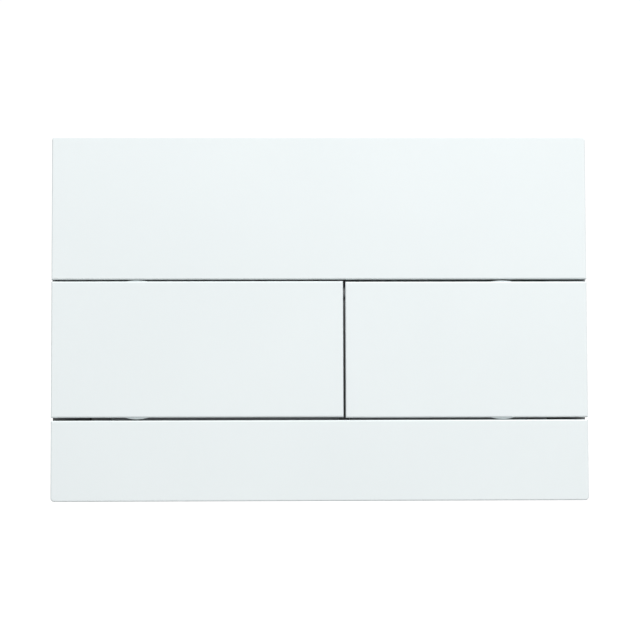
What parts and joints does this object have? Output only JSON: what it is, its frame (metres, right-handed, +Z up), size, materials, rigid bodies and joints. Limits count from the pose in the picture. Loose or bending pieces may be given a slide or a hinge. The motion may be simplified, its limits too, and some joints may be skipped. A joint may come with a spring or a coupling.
{
  "type": "flush button plate",
  "caption": "Wall plate for a concealed cistern: flat white cover panels above and below a wide and a narrow hinged flush button, with mounting frame, push rods and fixing screws behind.",
  "frame": {"origin": "on the wall plane, behind the middle of the plate", "axes": "+X to the right along the plate, +Y into the wall, +Z up; the front face is at negative Y"},
  "size_m": [0.22, 0.071, 0.15],
  "materials": {
    "white_cover": "satin",
    "grey_carrier": "matte",
    "grey_lever": "satin",
    "pale_frame": "satin",
    "rod_plastic": "satin",
    "blue_rod_plastic": "satin",
    "spring_steel": "polished",
    "screw_steel": "satin",
    "bumper_rubber": "matte"
  },
  "bodies": {
    "frame": {"upper_panel": "white_cover", "lower_panel": "white_cover", "carrier_frame": "grey_carrier", "mounting_frame": "pale_frame", "full_hinge_pin": "spring_steel", "half_hinge_pin": "spring_steel", "panel_screws": "screw_steel", "full_return_spring": "spring_steel", "half_return_spring": "spring_steel", "fixing_screw_left": "blue_rod_plastic", "fixing_screw_right": "blue_rod_plastic"},
    "full_button": {"full_button_cap": "white_cover", "full_rocker": "grey_lever", "full_rest_bumpers": "bumper_rubber", "full_button_screws": "screw_steel"},
    "half_button": {"half_button_cap": "white_cover", "half_rocker": "grey_lever", "half_rest_bumpers": "bumper_rubber", "half_button_screws": "screw_steel"},
    "full_rod": {"full_rod_head": "rod_plastic", "full_push_rod": "rod_plastic", "full_rod_locknut": "blue_rod_plastic"},
    "half_rod": {"half_rod_head": "rod_plastic", "half_push_rod": "rod_plastic", "half_rod_locknut": "blue_rod_plastic"}
  },
  "joints": [
    {"name": "full_press", "type": "hinge", "parent": "frame", "child": "full_button", "pos_m": [0, -0.006, 0.0104], "axis": [1, 0, 0], "range_deg": [0, 6.5], "stiffness_Nm_per_rad": 1.2, "springref_deg": -11.46},
    {"name": "half_press", "type": "hinge", "parent": "frame", "child": "half_button", "pos_m": [0, -0.006, 0.0104], "axis": [1, 0, 0], "range_deg": [0, 6.5], "stiffness_Nm_per_rad": 1.2, "springref_deg": -11.46},
    {"name": "full_rod_slide", "type": "slide", "parent": "frame", "child": "full_rod", "axis": [0, 1, 0], "range_m": [0, 0.00465], "deforming": ["full_return_spring"]},
    {"name": "half_rod_slide", "type": "slide", "parent": "frame", "child": "half_rod", "axis": [0, 1, 0], "range_m": [0, 0.00465], "deforming": ["half_return_spring"]}
  ],
  "couplings": [
    {"joint": "full_rod_slide", "follows": "full_press", "m_per_rad": 0.04048},
    {"joint": "half_rod_slide", "follows": "half_press", "m_per_rad": 0.04048}
  ]
}
